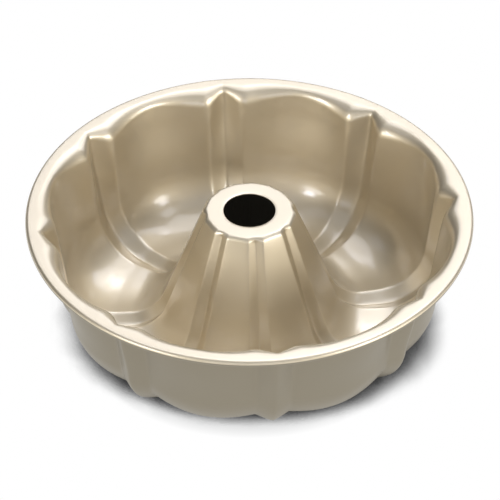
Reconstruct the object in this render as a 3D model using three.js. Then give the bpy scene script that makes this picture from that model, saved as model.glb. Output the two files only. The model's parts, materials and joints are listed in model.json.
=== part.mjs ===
// Pumpkin cake pan: a fluted ring mould pressed from one coated steel sheet, with a wire rolled into its rim.
// Millimetres, +Z up. The origin is on the surface that the pan stands on, under the middle of the chimney.

import * as THREE from 'three';

const { degToRad, lerp, mapLinear } = THREE.MathUtils;

// Sheet, rolled rim and the flat flange inside it, measured where a lobe leaves the flange narrowest
const SHEET = 0.8;
const RIM_DIAMETER = 240;
const WIRE_DIAMETER = 1.6;
const WIRE_CLEARANCE = 0.3;
const CURL_TURN = degToRad(285);
const FLANGE_FLAT = 1.8;

// The plain round pan before it is fluted, measured on the cake side
const FLANGE_TO_FLOOR = 68.8;
const WALL_DRAFT = degToRad(7);
const FLOOR_FLAT = 9;
const CHIMNEY_DRAFT = degToRad(21);
const CHIMNEY_TOP_DIAMETER = 49;
const CHIMNEY_HOLE_DIAMETER = 28.2;
const CAP_ABOVE_FLANGE = 2;

// Inside radii of the bends in the sheet. The bend from wall to floor fills what the floor leaves.
const MOUTH_BEND = 3.2;
const CHIMNEY_FOOT_BEND = 17;
const CAP_BEND = 2.7;

// Flutes: sharp creases with rounded lobes between them, as on a pumpkin
const LOBES = 8;
const CREASE_WIDTH_AT_MOUTH = 19.5;
const CREASE_WIDTH_AT_CAP = 7.8;
const CREASE_NOSE_WIDTH = 1.6;

// How far a crease and the middle of a lobe are pressed out of the round pan
const MOUTH_PRESS = { crease: 6, lobe: 6.2 };
const WALL_FOOT_PRESS = { crease: 4, lobe: 4.6 };
const FLOOR_PRESS = { crease: 3.7, lobe: 3 };
const CHIMNEY_FOOT_PRESS = { crease: 2.6, lobe: 1 };
const CHIMNEY_TOP_PRESS = { crease: 1, lobe: 0.4 };
const NO_PRESS = { crease: 0, lobe: 0 };

// Facets along each stretch of the profile and round each lobe
const CURL_FACETS = 9;
const SMALL_BEND_FACETS = 4;
const LARGE_BEND_FACETS = 6;
const WALL_FACETS = 2;
const LOBE_FACETS = 7;
const WIRE_FACETS = 8;

// Heights above the surface that the pan stands on
const floorHeight = Math.max(FLOOR_PRESS.crease, FLOOR_PRESS.lobe) + SHEET;
const flangeHeight = floorHeight + FLANGE_TO_FLOOR;
const capHeight = flangeHeight + CAP_ABOVE_FLANGE;

// Half the corner angles in the profile, and how far each bend starts before its corner
const halfWallCorner = (Math.PI / 2 + WALL_DRAFT) / 2;
const halfChimneyCorner = (Math.PI / 2 + CHIMNEY_DRAFT) / 2;
const mouthSetback = (MOUTH_BEND + SHEET) / Math.tan(halfWallCorner);
const footSetback = CHIMNEY_FOOT_BEND / Math.tan(halfChimneyCorner);

// Radii of the profile's corners, from the rim inwards to the chimney
const wireRadius = WIRE_DIAMETER / 2;
const curlRadius = wireRadius + WIRE_CLEARANCE + SHEET;
const curlCentre = new THREE.Vector2(RIM_DIAMETER / 2 - curlRadius, flangeHeight - curlRadius);
const mouthSwell = Math.max(MOUTH_PRESS.crease, MOUTH_PRESS.lobe);
const mouthRadius = curlCentre.x - curlRadius - FLANGE_FLAT - mouthSwell - mouthSetback;
const floorRadius = mouthRadius - FLANGE_TO_FLOOR * Math.tan(WALL_DRAFT);
const capRadius = CHIMNEY_TOP_DIAMETER / 2;
const footRadius = capRadius + (capHeight - floorHeight) * Math.tan(CHIMNEY_DRAFT);
const floorSetback = floorRadius - footRadius - footSetback - FLOOR_FLAT;
const floorBendRadius = floorSetback * Math.tan(halfWallCorner);

// Each period of the pan holds the two edges of a crease nose, then one lobe from cusp to cusp
const NOSE_EDGES = 2;
const meridiansPerLobe = NOSE_EDGES + LOBE_FACETS + 1;
const meridians = LOBES * meridiansPerLobe;
const lobeAngle = (2 * Math.PI) / LOBES;

const RADIAL = new THREE.Vector2(1, 0);

// A straight stretch of the profile, with the normal that points away from the cake.
function straight(from, to) {
	const along = to.clone().sub(from).normalize();
	const normal = new THREE.Vector2(-along.y, along.x);
	return {
		pointAt: (t) => from.clone().lerp(to, t),
		normalAt: () => normal,
	};
}

// A round stretch of the profile. Counter-clockwise arcs bend away from the cake, clockwise ones round it.
function round(centre, radius, startAngle, endAngle, clockwise) {
	const arc = new THREE.EllipseCurve(centre.x, centre.y, radius, radius, startAngle, endAngle, clockwise);
	const side = clockwise ? 1 : -1;
	return {
		pointAt: (t) => arc.getPoint(t),
		normalAt: (t) => arc.getPoint(t).sub(centre).multiplyScalar(side / radius),
	};
}

// The arc that rounds a corner between two straight stretches, and the two points where it meets them.
function bend(before, corner, after, radius) {
	const back = before.clone().sub(corner).normalize();
	const on = after.clone().sub(corner).normalize();
	const halfAngle = Math.acos(back.dot(on)) / 2;
	const setback = radius / Math.tan(halfAngle);
	const start = corner.clone().addScaledVector(back, setback);
	const end = corner.clone().addScaledVector(on, setback);
	const toCentre = back.clone().add(on).normalize();
	const centre = corner.clone().addScaledVector(toCentre, radius / Math.sin(halfAngle));
	const clockwise = back.cross(on) > 0;
	const startAngle = start.clone().sub(centre).angle();
	const endAngle = end.clone().sub(centre).angle();
	return { start, end, arc: round(centre, radius, startAngle, endAngle, clockwise) };
}

// The cake-side profile, from the end of the curl over the rim, down the wall, across the floor and up the
// chimney to its hole. Each stretch has its facets and its press at both ends. The mouth and the wall are
// pressed straight outwards, so that the flange stays flat, and the rest square to the sheet.
function profileStretches() {
	const curlTop = new THREE.Vector2(curlCentre.x, flangeHeight);
	const mouth = new THREE.Vector2(mouthRadius, flangeHeight);
	const floorEdge = new THREE.Vector2(floorRadius, floorHeight);
	const foot = new THREE.Vector2(footRadius, floorHeight);
	const cap = new THREE.Vector2(capRadius, capHeight);
	const hole = new THREE.Vector2(CHIMNEY_HOLE_DIAMETER / 2, capHeight);

	const curl = round(curlCentre, curlRadius, Math.PI / 2 - CURL_TURN, Math.PI / 2, false);
	const mouthBend = bend(curlTop, mouth, floorEdge, MOUTH_BEND + SHEET);
	const floorBend = bend(mouth, floorEdge, foot, floorBendRadius);
	const footBend = bend(floorEdge, foot, cap, CHIMNEY_FOOT_BEND);
	const capBend = bend(foot, cap, hole, CAP_BEND + SHEET);

	return [
		[curl, CURL_FACETS, NO_PRESS, NO_PRESS],
		[straight(curlTop, mouthBend.start), 1, NO_PRESS, MOUTH_PRESS, RADIAL],
		[mouthBend.arc, SMALL_BEND_FACETS, MOUTH_PRESS, MOUTH_PRESS, RADIAL],
		[straight(mouthBend.end, floorBend.start), WALL_FACETS, MOUTH_PRESS, WALL_FOOT_PRESS, RADIAL],
		[floorBend.arc, LARGE_BEND_FACETS, WALL_FOOT_PRESS, FLOOR_PRESS],
		[straight(floorBend.end, footBend.start), 1, FLOOR_PRESS, FLOOR_PRESS],
		[footBend.arc, LARGE_BEND_FACETS, FLOOR_PRESS, CHIMNEY_FOOT_PRESS],
		[straight(footBend.end, capBend.start), WALL_FACETS, CHIMNEY_FOOT_PRESS, CHIMNEY_TOP_PRESS],
		[capBend.arc, SMALL_BEND_FACETS, CHIMNEY_TOP_PRESS, NO_PRESS],
		[straight(capBend.end, hole), 1, NO_PRESS, NO_PRESS],
	];
}

// Stations round the section of the sheet: up the cake side and back along the underside. Each is a point of
// the round pan, with how far and which way it is pressed.
function sheetStations() {
	const cakeSide = [];
	const underside = [];
	for (const [curve, facets, startPress, endPress, direction] of profileStretches()) {
		for (let step = cakeSide.length ? 1 : 0; step <= facets; step++) {
			const t = step / facets;
			const point = curve.pointAt(t);
			const normal = curve.normalAt(t);
			const press = {
				crease: lerp(startPress.crease, endPress.crease, t),
				lobe: lerp(startPress.lobe, endPress.lobe, t),
				direction: direction ?? normal,
			};
			cakeSide.push({ point, press });
			underside.push({ point: point.clone().addScaledVector(normal, SHEET), press });
		}
	}
	return [...cakeSide, ...underside.reverse(), cakeSide[0]];
}

// The angle of one meridian where the round pan has the given radius. Creases narrow towards the chimney.
function meridianAngle(index, radius) {
	const step = index % meridiansPerLobe;
	const creaseAngle = Math.floor(index / meridiansPerLobe) * lobeAngle;
	if (step < NOSE_EDGES) {
		const noseHalfAngle = CREASE_NOSE_WIDTH / 2 / radius;
		return creaseAngle + (step === 0 ? -noseHalfAngle : noseHalfAngle);
	}
	const creaseWidth = mapLinear(radius, capRadius, mouthRadius, CREASE_WIDTH_AT_CAP, CREASE_WIDTH_AT_MOUTH);
	const cuspAngle = creaseWidth / 2 / radius;
	const share = (step - NOSE_EDGES) / LOBE_FACETS;
	return creaseAngle + lerp(cuspAngle, lobeAngle - cuspAngle, share);
}

// How far one meridian is pressed out: fully at a crease nose, not at a cusp, and in an even swell over a lobe.
function meridianPress(index, press) {
	const step = index % meridiansPerLobe;
	if (step < NOSE_EDGES) {
		return press.crease;
	}
	return press.lobe * Math.sin((Math.PI * (step - NOSE_EDGES)) / LOBE_FACETS);
}

// Turns a closed section round the Z axis on the pan's meridians, and presses each station out on the way.
function pressedRing(stations) {
	const geometry = new THREE.LatheGeometry(stations.map((station) => station.point), meridians);
	const position = geometry.getAttribute('position');
	for (let turn = 0; turn <= meridians; turn++) {
		const index = turn % meridians;
		stations.forEach(({ point, press }, row) => {
			const pressed = point.clone().addScaledVector(press.direction, meridianPress(index, press));
			const angle = meridianAngle(index, point.x);
			const x = pressed.x * Math.cos(angle);
			const y = pressed.x * Math.sin(angle);
			position.setXYZ(turn * stations.length + row, x, y, pressed.y);
		});
	}
	geometry.computeVertexNormals();
	return geometry;
}

function panShell() {
	const coating = new THREE.MeshStandardMaterial({ color: 0xb9a888, roughness: 0.38, metalness: 0.85 });
	const shell = new THREE.Mesh(pressedRing(sheetStations()), coating);
	shell.name = 'pan_shell';
	return shell;
}

// The wire is a closed ring in the curl, with the same clearance all round.
function rimWire() {
	const section = new THREE.EllipseCurve(curlCentre.x, curlCentre.y, wireRadius, wireRadius);
	const press = { ...NO_PRESS, direction: RADIAL };
	const stations = section.getPoints(WIRE_FACETS).map((point) => ({ point, press }));
	stations[WIRE_FACETS] = stations[0];
	const steel = new THREE.MeshStandardMaterial({ color: 0x9a9a98, roughness: 0.45, metalness: 1 });
	const wire = new THREE.Mesh(pressedRing(stations), steel);
	wire.name = 'rim_wire';
	return wire;
}

const pan = new THREE.Group();
pan.add(panShell(), rimWire());

export default pan;
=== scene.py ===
"""A fluted ring cake pan: fine pressed sheet, rim wire, finishes, lights and camera. Metres, +Z up."""
import json
import math

import bpy
import numpy as np
from mathutils import Matrix, Vector


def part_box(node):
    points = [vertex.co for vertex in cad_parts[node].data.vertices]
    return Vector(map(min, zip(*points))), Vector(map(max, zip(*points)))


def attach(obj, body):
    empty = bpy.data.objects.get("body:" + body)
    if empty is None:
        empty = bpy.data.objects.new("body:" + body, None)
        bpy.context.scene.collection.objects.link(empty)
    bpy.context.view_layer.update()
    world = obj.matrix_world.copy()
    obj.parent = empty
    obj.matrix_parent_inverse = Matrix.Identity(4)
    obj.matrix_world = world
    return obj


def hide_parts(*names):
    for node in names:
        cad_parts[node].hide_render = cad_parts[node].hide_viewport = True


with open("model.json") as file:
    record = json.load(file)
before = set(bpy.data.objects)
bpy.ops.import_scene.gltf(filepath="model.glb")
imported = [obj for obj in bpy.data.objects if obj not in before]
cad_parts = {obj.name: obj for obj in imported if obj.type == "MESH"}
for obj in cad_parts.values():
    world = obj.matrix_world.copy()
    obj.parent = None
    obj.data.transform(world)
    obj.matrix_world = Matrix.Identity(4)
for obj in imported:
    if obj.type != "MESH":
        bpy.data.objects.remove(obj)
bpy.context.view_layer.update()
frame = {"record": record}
MOUNTS = {mount["name"]: mount["pos_m"] for mount in frame["record"]["mounts"]}

# Sizes that the frame gives
RIM_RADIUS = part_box("pan_shell")[1].x
WIRE_LOW, WIRE_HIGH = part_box("rim_wire")
FLANGE_HEIGHT = MOUNTS["rim_flange"][2]
CAP_HEIGHT = MOUNTS["chimney_cap"][2]

# The sheet and the section that it is drawn to
SHEET = 0.0008
WIRE_CLEARANCE = 0.0003
CURL_TURN = math.radians(285)
CUT_EDGE_BULGE = 0.6
FLANGE_FLAT = 0.0018
FLANGE_TO_FLOOR = 0.0688
WALL_DRAFT = math.radians(7)
FLOOR_FLAT = 0.0073
CHIMNEY_DRAFT = math.radians(21)
CHIMNEY_TOP_RADIUS = 0.0245
CHIMNEY_HOLE_RADIUS = 0.0141
MOUTH_BEND_AT_CREASE = 0.0036
MOUTH_BEND_AT_CUSP = 0.0085
MOUTH_BEND_AT_LOBE = 0.0038
WALL_NECK = 0.008
CHIMNEY_FOOT_BEND = 0.0195
CAP_BEND = 0.0027

# The pressing: V creases between round lobes. Each press is (crease depth, lobe depth, cusp rounding)
LOBES = 8
CREASE_WIDTH_AT_MOUTH = 0.0195
CREASE_WIDTH_AT_CAP = 0.0078
CREASE_NOSE_SHARE = 0.12
NO_PRESS = (0.0, 0.0, 0.0)
MOUTH_PRESS = (0.0068, 0.0062, 0.0035)
WALL_TOP_PRESS = (0.0066, 0.006, 0.002)
WALL_FOOT_PRESS = (0.004, 0.0034, 0.0008)
FLOOR_PRESS = (0.0037, 0.003, 0.0007)
CHIMNEY_FOOT_PRESS = (0.0034, 0.0013, 0.0003)
CHIMNEY_TOP_PRESS = (0.0015, 0.0005, 0.0003)

# Steps of the fine mesh
CURL_STEPS = 24
# Painted shade: the curl's steps from its inner end, round its underside and up its outer side, take the
# darker outside finish as a shadow line under the bead
PAINTED_SHADE_CURL_STEPS = 17
FLAT_STEPS = 5
SMALL_BEND_STEPS = 12
LARGE_BEND_STEPS = 28
WALL_STEPS = 16
CUT_EDGE_STEPS = 4
CREASE_STEPS = 10
LOBE_STEPS = 14
LOBE_STEP_GROWTH = 1.5
WIRE_STEPS = 240
WIRE_SIDES = 16

# The view of the photograph
IMAGE_SIDE = 500
FOCAL_PIXELS = 3553
SENSOR_WIDTH = 36.0
CAMERA_AZIMUTH = math.radians(-7.5)
CAMERA_ELEVATION = math.radians(39.56)
CAMERA_DISTANCE = 1.902
RIM_CENTRE_PIXEL = (249.44, 213.06)

# Finishes
COATING_COLOURS = ((0.64, 0.555, 0.402), (0.675, 0.585, 0.427))
COATING_GLOSS = 1.0
# Painted shade: the outside takes a darker, less glossy copy of the coating in place of the dimmer light
# it reflects
PAINTED_SHADE_OUTSIDE_COLOURS = ((0.285, 0.252, 0.187), (0.305, 0.27, 0.202))
OUTSIDE_GLOSS = 0.2
FLAKE_ROUGHNESS = (0.49, 0.55)
CLEAR_COAT_ROUGHNESS = 0.17
CLEAR_COAT_IOR = 1.8
CLOUD_SIZE = 0.03
PEEL_SIZE = 0.0012
PEEL_HEIGHT = 0.000004
NOISE_DETAIL = 3.0
NOISE_MIDDLE = (0.3, 0.7)
STEEL_COLOURS = ((0.55, 0.55, 0.54), (0.61, 0.61, 0.60))
STEEL_ROUGHNESS = (0.34, 0.46)
DRAWN_GRAIN = 0.0006
DRAWN_DEPTH = 0.000005

# Light. Each lamp is (name, degrees round from behind, degrees up, width and height, radiance, tint)
WORLD_STRENGTH = 0.1
LAMP_DISTANCE = 2.4
COOL_LIGHT = (0.97, 1.0, 1.11)
WARM_LIGHT = (1.01, 1.0, 0.97)
LAMPS = (
    ("softbox_back_low", 6, 36, (2.1, 0.8), 1.76, COOL_LIGHT),
    ("softbox_back_high", 8, 57, (1.8, 0.75), 1.98, COOL_LIGHT),
    ("spot_back", 13, 52, (0.75, 0.6), 3.0, COOL_LIGHT),
    ("softbox_back_right", 48, 42, (0.9, 1.35), 2.4, COOL_LIGHT),
    ("softbox_top", 10, 80, (2.2, 1.4), 1.56, COOL_LIGHT),
    ("softbox_front", 180, 17, (1.5, 0.9), 1.35, COOL_LIGHT),
    ("softbox_front_high", 180, 52, (2.5, 1.3), 0.41, COOL_LIGHT),
    ("softbox_left", -132, 14, (1.3, 0.7), 6.3, WARM_LIGHT),
    ("softbox_left_high", -85, 52, (0.9, 0.8), 0.53, COOL_LIGHT),
    ("spot_left", -129, 29, (0.5, 0.4), 10.4, COOL_LIGHT),
    ("softbox_right", 128, 17, (1.2, 0.8), 6.8, WARM_LIGHT),
    ("softbox_right_low", 118, 2, (1.4, 0.4), 5.4, WARM_LIGHT),
    ("spot_right", 122, 31, (0.45, 0.38), 5.6, COOL_LIGHT),
    ("softbox_right_high", 112, 52, (0.75, 0.6), 1.78, COOL_LIGHT),
)

# The studio floor. SHADOW_START and SHADOW_END are (growth by squared distance aside, least openness)
STUDIO_FLOOR_HALF = 3.0
STUDIO_FLOOR_COLOUR = (0.9, 0.9, 0.9)
SHADOW_REACH = 0.022
SHADOW_SAMPLES = 16
SHADOW_LEVEL = 0.07
SHADOW_MIDDLE = -0.006
SHADOW_START = (33.0, 0.13)
SHADOW_END = (57.0, 0.24)
SHADOW_SIDE_LIMIT = 0.0105
DARK_UNDER_PAN = (0.06, 0.098)
LIGHT_UNDER_PAN = 0.02

# Sizes that follow from these
RIM_CENTRE = Vector((0, 0, FLANGE_HEIGHT))
WIRE_RADIUS = (WIRE_HIGH.z - WIRE_LOW.z) / 2
WIRE_RING_RADIUS = WIRE_HIGH.x - WIRE_RADIUS
WIRE_RING_HEIGHT = (WIRE_HIGH.z + WIRE_LOW.z) / 2
FLOOR_HEIGHT = FLANGE_HEIGHT - FLANGE_TO_FLOOR
WALL_CORNER_HALF = (math.pi / 2 + WALL_DRAFT) / 2
CHIMNEY_CORNER_HALF = (math.pi / 2 + CHIMNEY_DRAFT) / 2
CURL_RADIUS = WIRE_RADIUS + WIRE_CLEARANCE + SHEET
CURL_CENTRE = np.array([RIM_RADIUS - CURL_RADIUS, FLANGE_HEIGHT - CURL_RADIUS])
MOUTH_SETBACK = (MOUTH_BEND_AT_LOBE + SHEET) / math.tan(WALL_CORNER_HALF)
MOUTH_RADIUS = CURL_CENTRE[0] - CURL_RADIUS - FLANGE_FLAT - MOUTH_PRESS[1] - MOUTH_SETBACK
FLOOR_RADIUS = MOUTH_RADIUS - FLANGE_TO_FLOOR * math.tan(WALL_DRAFT)
FOOT_RADIUS = CHIMNEY_TOP_RADIUS + (CAP_HEIGHT - FLOOR_HEIGHT) * math.tan(CHIMNEY_DRAFT)
FOOT_SETBACK = CHIMNEY_FOOT_BEND / math.tan(CHIMNEY_CORNER_HALF)
FLOOR_BEND_REACH = FLOOR_RADIUS - FOOT_RADIUS - FOOT_SETBACK - FLOOR_FLAT
FLOOR_BEND = FLOOR_BEND_REACH * math.tan(WALL_CORNER_HALF)
LOBE_ANGLE = 2 * math.pi / LOBES


def unit(vector):
    return vector / np.linalg.norm(vector)


def straight(start, end):
    """A straight stretch of the section: its points and normals at shares of its length."""
    along = unit(end - start)
    normal = np.array([-along[1], along[0]])
    return lambda t: (start + np.outer(t, end - start), np.tile(normal, (len(t), 1)))


def arc(centre, radius, first, last):
    """A round stretch of the section, whose normals point to the underside."""
    side = 1 if last < first else -1

    def at(t):
        angle = first + (last - first) * t
        out = np.stack([np.cos(angle), np.sin(angle)], axis=1)
        return centre + radius * out, side * out

    return at


def bend(before, corner, after, radius):
    """The round stretch that takes a corner, with its start and end."""
    back = unit(before - corner)
    onward = unit(after - corner)
    half = math.acos(back @ onward) / 2
    setback = radius / math.tan(half)
    start = corner + back * setback
    end = corner + onward * setback
    centre = corner + unit(back + onward) * radius / math.sin(half)
    first = math.atan2(*(start - centre)[::-1])
    last = math.atan2(*(end - centre)[::-1])
    turn = (last - first + math.pi) % (2 * math.pi) - math.pi
    return start, end, arc(centre, radius, first, first + turn)


def smooth(t):
    return t * t * (3 - 2 * t)


def section_stretches(mouth_bend):
    """The cake side from curl to hole, as (curve, steps, press at both ends, sideways share at both)."""
    curl_top = np.array([CURL_CENTRE[0], FLANGE_HEIGHT])
    mouth = np.array([MOUTH_RADIUS, FLANGE_HEIGHT])
    floor_edge = np.array([FLOOR_RADIUS, FLOOR_HEIGHT])
    foot = np.array([FOOT_RADIUS, FLOOR_HEIGHT])
    cap = np.array([CHIMNEY_TOP_RADIUS, CAP_HEIGHT])
    hole = np.array([CHIMNEY_HOLE_RADIUS, CAP_HEIGHT])
    mouth_start, mouth_end, mouth_arc = bend(curl_top, mouth, floor_edge, mouth_bend + SHEET)
    floor_start, floor_end, floor_arc = bend(mouth, floor_edge, foot, FLOOR_BEND)
    foot_start, foot_end, foot_arc = bend(floor_edge, foot, cap, CHIMNEY_FOOT_BEND)
    cap_start, cap_end, cap_arc = bend(foot, cap, hole, CAP_BEND + SHEET)
    neck_end = mouth_end + unit(floor_start - mouth_end) * WALL_NECK
    curl = arc(CURL_CENTRE, CURL_RADIUS, math.pi / 2 - CURL_TURN, math.pi / 2)
    return [
        (curl, CURL_STEPS, NO_PRESS, NO_PRESS, 1, 1),
        (straight(curl_top, mouth_start), FLAT_STEPS, NO_PRESS, MOUTH_PRESS, 1, 1),
        (mouth_arc, SMALL_BEND_STEPS, MOUTH_PRESS, MOUTH_PRESS, 1, 1),
        (straight(mouth_end, neck_end), FLAT_STEPS, MOUTH_PRESS, WALL_TOP_PRESS, 1, 1),
        (straight(neck_end, floor_start), WALL_STEPS, WALL_TOP_PRESS, WALL_FOOT_PRESS, 1, 0),
        (floor_arc, LARGE_BEND_STEPS, WALL_FOOT_PRESS, FLOOR_PRESS, 0, 0),
        (straight(floor_end, foot_start), FLAT_STEPS, FLOOR_PRESS, FLOOR_PRESS, 0, 0),
        (foot_arc, LARGE_BEND_STEPS, FLOOR_PRESS, CHIMNEY_FOOT_PRESS, 0, 0),
        (straight(foot_end, cap_start), WALL_STEPS, CHIMNEY_FOOT_PRESS, CHIMNEY_TOP_PRESS, 0, 0),
        (cap_arc, SMALL_BEND_STEPS, CHIMNEY_TOP_PRESS, NO_PRESS, 0, 0),
        (straight(cap_end, hole), FLAT_STEPS, NO_PRESS, NO_PRESS, 0, 0),
    ]


def cake_side(mouth_bend):
    """Points, normals, press directions and press along the cake side."""
    rows = []
    for stretch in section_stretches(mouth_bend):
        curve, steps, before, after, sideways_before, sideways_after = stretch
        # A stretch leaves out its first point, where the one before ends
        first = 1 if rows else 0
        t = np.linspace(0, 1, steps + 1)[first:]
        ease = smooth(t)[:, None]
        points, normals = curve(t)
        press = np.array(before) + (np.array(after) - np.array(before)) * ease
        sideways = sideways_before + (sideways_after - sideways_before) * ease
        directions = normals * (1 - sideways) + np.array([1.0, 0.0]) * sideways
        directions /= np.linalg.norm(directions, axis=1)[:, None]
        rows.append(np.hstack([points, normals, directions, press]))
    return np.split(np.concatenate(rows), [2, 4, 6], axis=1)


def cut_edge(start, end):
    """A rounded edge of the sheet between its two faces."""
    middle = (start + end) / 2
    half = (end - start) / 2
    out = np.array([half[1], -half[0]]) * CUT_EDGE_BULGE
    turn = np.linspace(0, math.pi, CUT_EDGE_STEPS + 2)[1:-1, None]
    return middle - half * np.cos(turn) + out * np.sin(turn)


def closed_section(mouth_bend):
    """The sheet's whole section: cake side, edge at the hole, underside, edge at the curl's end."""
    points, normals, directions, press = cake_side(mouth_bend)
    underside = points + normals * SHEET
    no_press = np.tile(NO_PRESS, (CUT_EDGE_STEPS, 1))
    outward = np.tile([1.0, 0.0], (CUT_EDGE_STEPS, 1))
    hole_edge = cut_edge(points[-1], underside[-1])
    curl_edge = cut_edge(underside[0], points[0])
    return (
        np.concatenate([points, hole_edge, underside[::-1], curl_edge]),
        np.concatenate([directions, outward, directions[::-1], outward]),
        np.concatenate([press, no_press, press[::-1], no_press]),
    )


def meridians():
    """Crease number, side, and shares of the crease's and the lobe's half width, round the pan."""
    crease = (1 - np.cos(np.pi * np.arange(CREASE_STEPS + 1) / CREASE_STEPS)) / 2
    lobe = (np.arange(1, LOBE_STEPS + 1) / LOBE_STEPS) ** LOBE_STEP_GROWTH
    shares = [(share, 0.0) for share in crease] + [(1.0, share) for share in lobe]
    found = []
    for number in range(LOBES):
        found += [(number, 1, *pair) for pair in shares]
        found += [(number + 1, -1, *pair) for pair in shares[-2:0:-1]]
    return np.array(found).T


def round_axis(radius, angle, height):
    """Points round the pan's axis from their radii, angles and heights."""
    return np.stack([radius * np.cos(angle), radius * np.sin(angle), height], axis=-1)


def softened_section(crease_share, lobe_share):
    """The section at each meridian, its mouth bend blended from the crease over the cusp to the lobe."""
    sharp, directions, press = closed_section(MOUTH_BEND_AT_CREASE)
    soft = closed_section(MOUTH_BEND_AT_CUSP)[0]
    cusp_growth = MOUTH_BEND_AT_CUSP - MOUTH_BEND_AT_CREASE
    lobe_softness = (MOUTH_BEND_AT_LOBE - MOUTH_BEND_AT_CREASE) / cusp_growth
    softness = smooth(crease_share) + (lobe_softness - 1) * smooth(lobe_share)
    radius = sharp[:, :1] + (soft - sharp)[:, :1] * softness
    height = sharp[:, 1:] + (soft - sharp)[:, 1:] * softness
    return radius, height, directions, press


def press_depth(press, radius, across, half_width):
    """The pressing's depth at a distance across from the middle of the nearest crease."""
    crease_depth, lobe_depth, rounding = np.split(press, 3, axis=1)
    nose = half_width * CREASE_NOSE_SHARE
    slope = crease_depth / (np.sqrt(half_width ** 2 + nose ** 2) - nose)
    crease = crease_depth - slope * (np.sqrt(across ** 2 + nose ** 2) - nose)
    over_lobe = (across - half_width) / (radius * LOBE_ANGLE - 2 * half_width)
    lobe = lobe_depth * np.where(over_lobe > 0, np.sin(np.pi * over_lobe), np.pi * over_lobe)
    overlap = np.maximum(rounding - np.abs(crease - lobe), 0)
    # The sheet's thickness keeps the divisor off zero where the pressing fades out
    return np.maximum(crease, lobe) + overlap ** 2 / np.maximum(4 * rounding, SHEET)


def pressed(turns):
    """Turns the section round the axis and presses the creases and lobes into it."""
    number, side, crease_share, lobe_share = turns
    radius, height, directions, press = softened_section(crease_share, lobe_share)
    widening = (CREASE_WIDTH_AT_MOUTH - CREASE_WIDTH_AT_CAP) / (MOUTH_RADIUS - CHIMNEY_TOP_RADIUS)
    half_width = (CREASE_WIDTH_AT_CAP + (radius - CHIMNEY_TOP_RADIUS) * widening) / 2
    cusp_angle = half_width / radius
    away = crease_share * cusp_angle + lobe_share * (LOBE_ANGLE / 2 - cusp_angle)
    depth = press_depth(press, radius, away * radius, half_width)
    angle = number * LOBE_ANGLE + side * away
    return round_axis(radius + directions[:, :1] * depth, angle, height + directions[:, 1:] * depth)


def ring_mesh(name, grid):
    """A closed smooth mesh from rows of points, joined along both ways of the grid."""
    rows, columns = grid.shape[:2]
    row, column = np.meshgrid(np.arange(rows), np.arange(columns), indexing="ij")
    next_row = (row + 1) % rows
    next_column = (column + 1) % columns
    corners = [(row, column), (row, next_column), (next_row, next_column), (next_row, column)]
    faces = np.stack([r * columns + c for r, c in corners], axis=-1).reshape(-1, 4)
    mesh = bpy.data.meshes.new(name)
    mesh.from_pydata(grid.reshape(-1, 3).tolist(), [], faces.tolist())
    mesh.polygons.foreach_set("use_smooth", [True] * len(faces))
    mesh.update()
    piece = bpy.data.objects.new(name, mesh)
    bpy.context.collection.objects.link(piece)
    return piece


def make_shell():
    """The pressed sheet, coated on the cake side up to the top of the rim; the rest takes a darker
    finish as painted shade.
    """
    grid = pressed(meridians())
    piece = ring_mesh("pressed_shell", grid)
    piece.data.materials.append(coated_metal("nonstick_coating", COATING_COLOURS, COATING_GLOSS))
    piece.data.materials.append(coated_metal("outside_painted_shade", PAINTED_SHADE_OUTSIDE_COLOURS, OUTSIDE_GLOSS))
    rows, columns = grid.shape[:2]
    cake_rows = len(cake_side(MOUTH_BEND_AT_LOBE)[0])
    row = np.arange(rows)
    # Painted shade: the curl's lower part, the cut edges and the whole underside take the darker outside
    # finish
    painted_shade_faces = np.repeat((row < PAINTED_SHADE_CURL_STEPS) | (row >= cake_rows), columns)
    piece.data.polygons.foreach_set("material_index", painted_shade_faces.astype(np.int32))
    return piece


def make_wire():
    """The stiffening wire in the curl, a ring of round section."""
    rolls = np.linspace(0, 2 * math.pi, WIRE_SIDES, endpoint=False)[::-1]
    turns = np.linspace(0, 2 * math.pi, WIRE_STEPS, endpoint=False)
    roll, turn = np.meshgrid(rolls, turns, indexing="ij")
    radius = WIRE_RING_RADIUS + WIRE_RADIUS * np.cos(roll)
    height = WIRE_RING_HEIGHT + WIRE_RADIUS * np.sin(roll)
    return ring_mesh("drawn_wire", round_axis(radius, turn, height))


def new_material(name):
    material = bpy.data.materials.new(name)
    material.use_nodes = True
    return material, material.node_tree.nodes, material.node_tree.links


def mixed_colour(nodes, links, share, first, second):
    mix = nodes.new("ShaderNodeMix")
    mix.data_type = "RGBA"
    mix.inputs["A"].default_value = (*first, 1)
    mix.inputs["B"].default_value = (*second, 1)
    links.new(share, mix.inputs["Factor"])
    return mix.outputs["Result"]


def feed(links, socket, value):
    """Sets a socket to a number or links it to another socket."""
    if isinstance(value, (int, float)):
        socket.default_value = value
    else:
        links.new(value, socket)


def map_range(nodes, links, value, from_low, from_high, to_low, to_high):
    node = nodes.new("ShaderNodeMapRange")
    for socket, part in zip(node.inputs, (value, from_low, from_high, to_low, to_high)):
        feed(links, socket, part)
    return node.outputs["Result"]


def noise(nodes, links, size):
    """Soft noise whose features have about the given size in metres."""
    place = nodes.new("ShaderNodeTexCoord")
    texture = nodes.new("ShaderNodeTexNoise")
    texture.inputs["Scale"].default_value = 1 / size
    texture.inputs["Detail"].default_value = NOISE_DETAIL
    links.new(place.outputs["Object"], texture.inputs["Vector"])
    return texture.outputs["Fac"]


def bumped(nodes, links, height, depth, shader):
    bump = nodes.new("ShaderNodeBump")
    bump.inputs["Distance"].default_value = depth
    links.new(height, bump.inputs["Height"])
    links.new(bump.outputs["Normal"], shader.inputs["Normal"])


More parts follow.
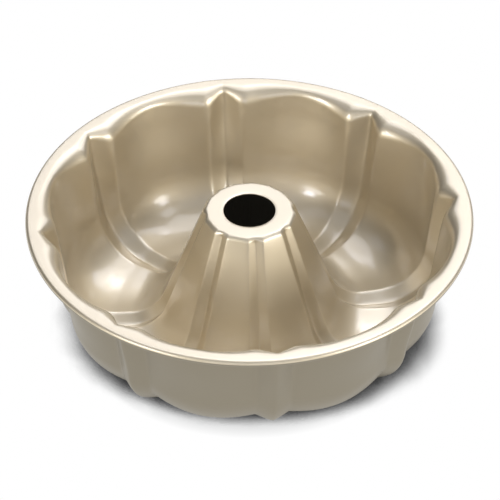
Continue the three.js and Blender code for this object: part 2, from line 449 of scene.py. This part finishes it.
def coated_metal(name, colours, gloss):
    """Metal flake of two near colours under a clear top layer that is glossy by a share."""
    material, nodes, links = new_material(name)
    shader = nodes["Principled BSDF"]
    shader.inputs["Metallic"].default_value = 1.0
    shader.inputs["Coat Weight"].default_value = gloss
    shader.inputs["Coat Roughness"].default_value = CLEAR_COAT_ROUGHNESS
    shader.inputs["Coat IOR"].default_value = CLEAR_COAT_IOR
    clouds = noise(nodes, links, CLOUD_SIZE)
    links.new(mixed_colour(nodes, links, clouds, *colours), shader.inputs["Base Color"])
    roughness = map_range(nodes, links, clouds, *NOISE_MIDDLE, *FLAKE_ROUGHNESS)
    links.new(roughness, shader.inputs["Roughness"])
    bumped(nodes, links, noise(nodes, links, PEEL_SIZE), PEEL_HEIGHT, shader)
    return material


def steel_material():
    material, nodes, links = new_material("drawn_steel")
    shader = nodes["Principled BSDF"]
    shader.inputs["Metallic"].default_value = 1.0
    grain = noise(nodes, links, DRAWN_GRAIN)
    colour = mixed_colour(nodes, links, grain, *STEEL_COLOURS)
    links.new(colour, shader.inputs["Base Color"])
    roughness = map_range(nodes, links, grain, *NOISE_MIDDLE, *STEEL_ROUGHNESS)
    links.new(roughness, shader.inputs["Roughness"])
    bumped(nodes, links, grain, DRAWN_DEPTH, shader)
    return material


def calculate(nodes, links, operation, *values):
    """A math node of the values, each a socket or a number."""
    node = nodes.new("ShaderNodeMath")
    node.operation = operation
    for socket, value in zip(node.inputs, values):
        feed(links, socket, value)
    return node.outputs[0]


def vector_part(nodes, links, operation, vector, other):
    """The number that a vector math node gives for a socket and a fixed vector."""
    node = nodes.new("ShaderNodeVectorMath")
    node.operation = operation
    links.new(vector, node.inputs[0])
    node.inputs[1].default_value = other
    return node.outputs["Value"]


def floor_material():
    """A white floor that keeps the pan's narrow shadow, for the eye and in the metal alike."""
    material, nodes, links = new_material("studio_floor")
    shader = nodes["Principled BSDF"]
    shader.inputs["Base Color"].default_value = (*STUDIO_FLOOR_COLOUR, 1)
    shader.inputs["Roughness"].default_value = 1.0
    shader.inputs["Specular IOR Level"].default_value = 0.0
    openness = nodes.new("ShaderNodeAmbientOcclusion")
    openness.inputs["Distance"].default_value = SHADOW_REACH
    openness.samples = SHADOW_SAMPLES
    place = nodes.new("ShaderNodeNewGeometry").outputs["Position"]
    to_right = (math.cos(CAMERA_AZIMUTH), math.sin(CAMERA_AZIMUTH), 0)
    aside = vector_part(nodes, links, "DOT_PRODUCT", place, to_right)
    aside = calculate(nodes, links, "SUBTRACT", aside, SHADOW_MIDDLE)
    aside = calculate(nodes, links, "MULTIPLY", aside, aside)
    aside = calculate(nodes, links, "MINIMUM", aside, SHADOW_SIDE_LIMIT)
    start = calculate(nodes, links, "MULTIPLY_ADD", aside, *SHADOW_START)
    end = calculate(nodes, links, "MULTIPLY_ADD", aside, *SHADOW_END)
    light = map_range(nodes, links, openness.outputs["AO"], start, end, SHADOW_LEVEL, 1)
    distance = vector_part(nodes, links, "DISTANCE", place, (0, 0, 0))
    beyond_pan = map_range(nodes, links, distance, *DARK_UNDER_PAN, LIGHT_UNDER_PAN, 1)
    white = nodes.new("ShaderNodeEmission")
    links.new(calculate(nodes, links, "MULTIPLY", light, beyond_pan), white.inputs["Strength"])
    path = nodes.new("ShaderNodeLightPath").outputs
    seen = calculate(nodes, links, "MAXIMUM", path["Is Camera Ray"], path["Is Glossy Ray"])
    seen = calculate(nodes, links, "MAXIMUM", seen, path["Is Transmission Ray"])
    mix = nodes.new("ShaderNodeMixShader")
    links.new(seen, mix.inputs[0])
    links.new(shader.outputs[0], mix.inputs[1])
    links.new(white.outputs[0], mix.inputs[2])
    links.new(mix.outputs[0], nodes["Material Output"].inputs["Surface"])
    return material


def make_floor():
    low, high = -STUDIO_FLOOR_HALF, STUDIO_FLOOR_HALF
    corners = [(low, low, 0), (high, low, 0), (high, high, 0), (low, high, 0)]
    mesh = bpy.data.meshes.new("studio_floor")
    mesh.from_pydata(corners, [], [(0, 1, 2, 3)])
    floor = bpy.data.objects.new("studio_floor", mesh)
    bpy.context.collection.objects.link(floor)
    floor.data.materials.append(floor_material())


def softbox(name, azimuth, elevation, size, radiance, tint):
    """A rectangular lamp that looks at the pan. From the camera, azimuth 0 is behind it and 90 right."""
    lamp = bpy.data.lights.new(name, "AREA")
    lamp.shape = "RECTANGLE"
    lamp.size, lamp.size_y = size
    lamp.energy = radiance * math.pi * size[0] * size[1]
    lamp.color = tint
    box = bpy.data.objects.new(name, lamp)
    turn = CAMERA_AZIMUTH - math.radians(azimuth)
    rise = math.radians(elevation)
    out = Vector((-math.sin(turn) * math.cos(rise), math.cos(turn) * math.cos(rise), math.sin(rise)))
    box.location = RIM_CENTRE + out * LAMP_DISTANCE
    box.rotation_euler = out.to_track_quat("Z", "Y").to_euler()
    bpy.context.collection.objects.link(box)


def make_lights():
    world = bpy.data.worlds.new("studio")
    world.use_nodes = True
    background = world.node_tree.nodes["Background"].inputs
    background["Color"].default_value = (1, 1, 1, 1)
    background["Strength"].default_value = WORLD_STRENGTH
    bpy.context.scene.world = world
    for lamp in LAMPS:
        softbox(*lamp)


def make_camera():
    """The camera of the photograph, aimed so that the rim's centre falls on its pixel."""
    camera = bpy.data.objects.new("camera", bpy.data.cameras.new("camera"))
    camera.data.sensor_width = SENSOR_WIDTH
    camera.data.lens = FOCAL_PIXELS / IMAGE_SIDE * SENSOR_WIDTH
    back = Vector((
        math.sin(CAMERA_AZIMUTH) * math.cos(CAMERA_ELEVATION),
        -math.cos(CAMERA_AZIMUTH) * math.cos(CAMERA_ELEVATION),
        math.sin(CAMERA_ELEVATION),
    ))
    drop = math.atan((IMAGE_SIDE / 2 - RIM_CENTRE_PIXEL[1]) / FOCAL_PIXELS)
    swing = math.atan((IMAGE_SIDE / 2 - RIM_CENTRE_PIXEL[0]) / FOCAL_PIXELS)
    at_rim = (-back).to_track_quat("-Z", "Y").to_matrix()
    pitch = Matrix.Rotation(-drop, 3, "X")
    yaw = Matrix.Rotation(-swing, 3, "Y")
    camera.location = RIM_CENTRE + back * CAMERA_DISTANCE
    camera.rotation_euler = (at_rim @ pitch @ yaw).to_euler()
    bpy.context.collection.objects.link(camera)
    bpy.context.scene.camera = camera


make_camera()
shell = make_shell()
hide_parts("pan_shell")
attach(shell, "root")
wire = make_wire()
wire.data.materials.append(steel_material())
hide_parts("rim_wire")
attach(wire, "root")
make_floor()
make_lights()
bpy.context.scene.view_settings.view_transform = "Standard"
